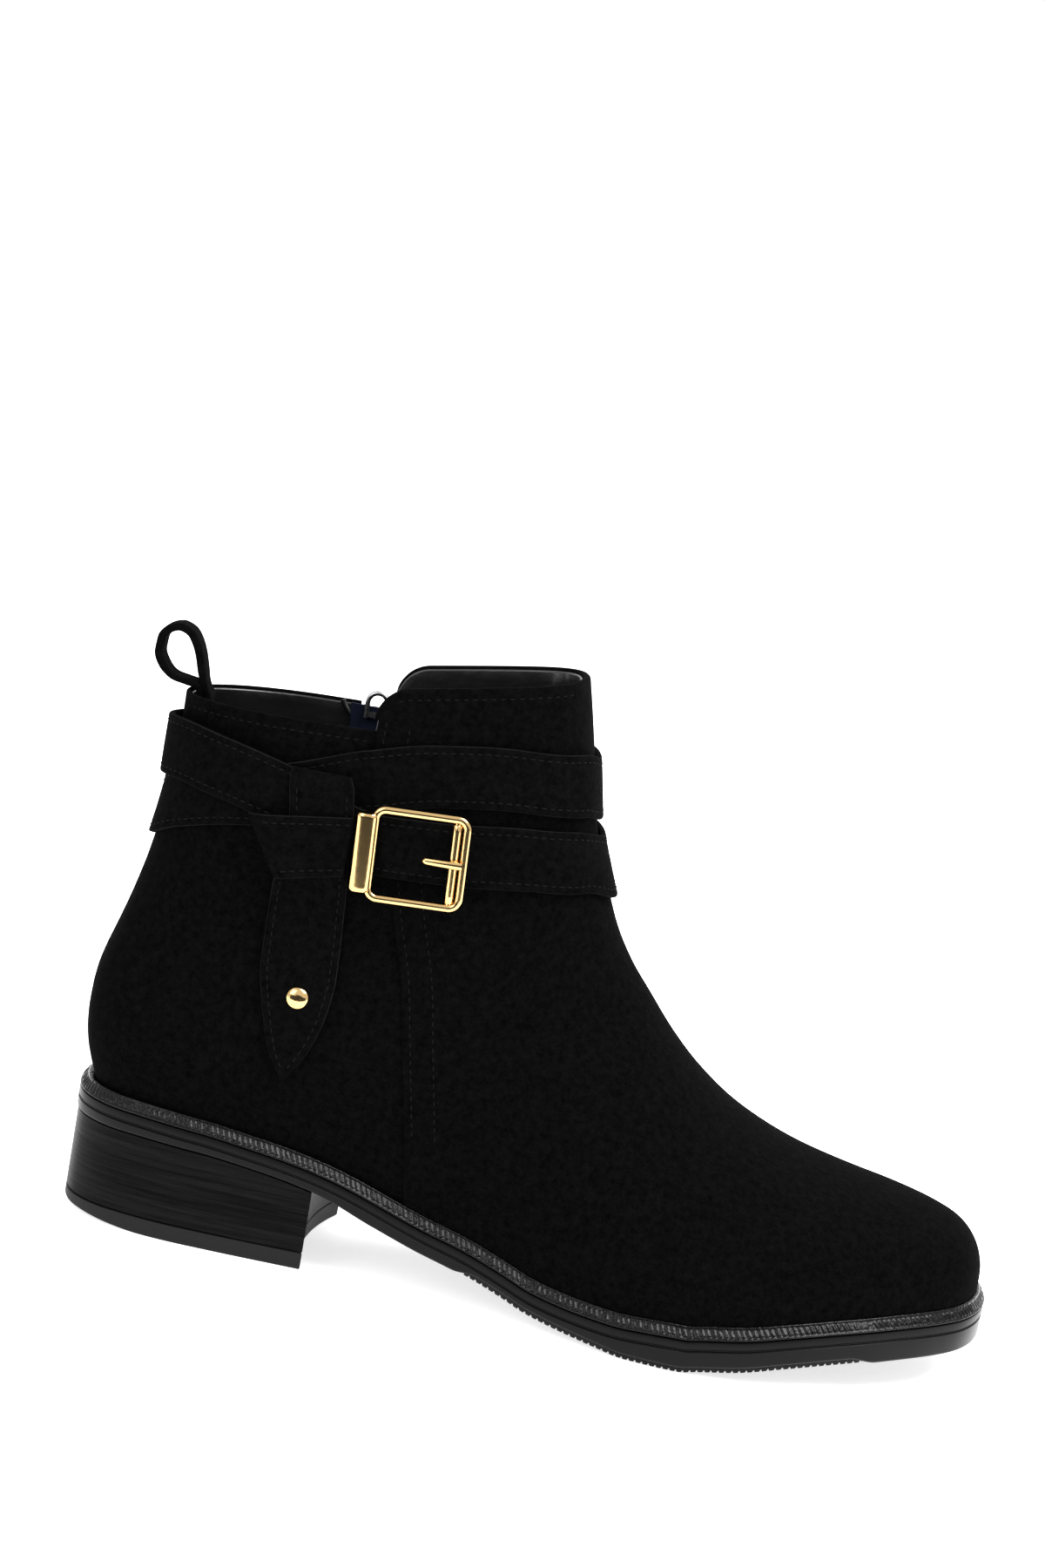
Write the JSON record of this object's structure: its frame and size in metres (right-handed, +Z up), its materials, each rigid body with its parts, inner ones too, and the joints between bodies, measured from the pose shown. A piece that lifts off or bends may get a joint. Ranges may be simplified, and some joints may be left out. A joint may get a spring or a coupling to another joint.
{
  "type": "ankle boot",
  "caption": "Right-foot faux suede ankle boot with wrapped straps, a square buckle, a pull loop, an inner side zip and a low block heel.",
  "frame": {"origin": "middle of the heel's depth on the floor, on the line through the heel's plan centre", "axes": "+X toward the toe, +Y toward the inner side of the foot, +Z up from the floor"},
  "size_m": [0.2684, 0.0968, 0.1782],
  "materials": {
    "suede": "matt black nap",
    "lining": "black coated lining, semi-gloss",
    "welt": "satin black, knurled edge",
    "sole": "satin black",
    "heel": "satin black with a stacked grain",
    "gold": "polished gold plate",
    "tape": "woven navy tape",
    "chain": "gunmetal"
  },
  "bodies": {
    "boot": {"upper": "suede", "insole": "lining", "welt": "welt", "outsole": "sole", "heel_stack": "heel", "top_lift": "sole", "strap_upper": "suede", "strap_cross": "suede", "strap_tab": "suede", "buckle_strap": "suede", "buckle_clip": "gold", "buckle_frame": "gold", "rivet": "gold", "pull_loop": "suede", "zip_tape": "tape", "zip_chain": "chain", "zip_slider": "chain"},
    "pull_tab": {"zip_pull": "chain"}
  },
  "joints": [
    {"name": "pull_swing", "type": "hinge", "parent": "boot", "child": "pull_tab", "pos_m": [0.0259, 0.028, 0.1511], "axis": [0.9997, -0.0226, 0], "range_deg": [0, 160]}
  ]
}
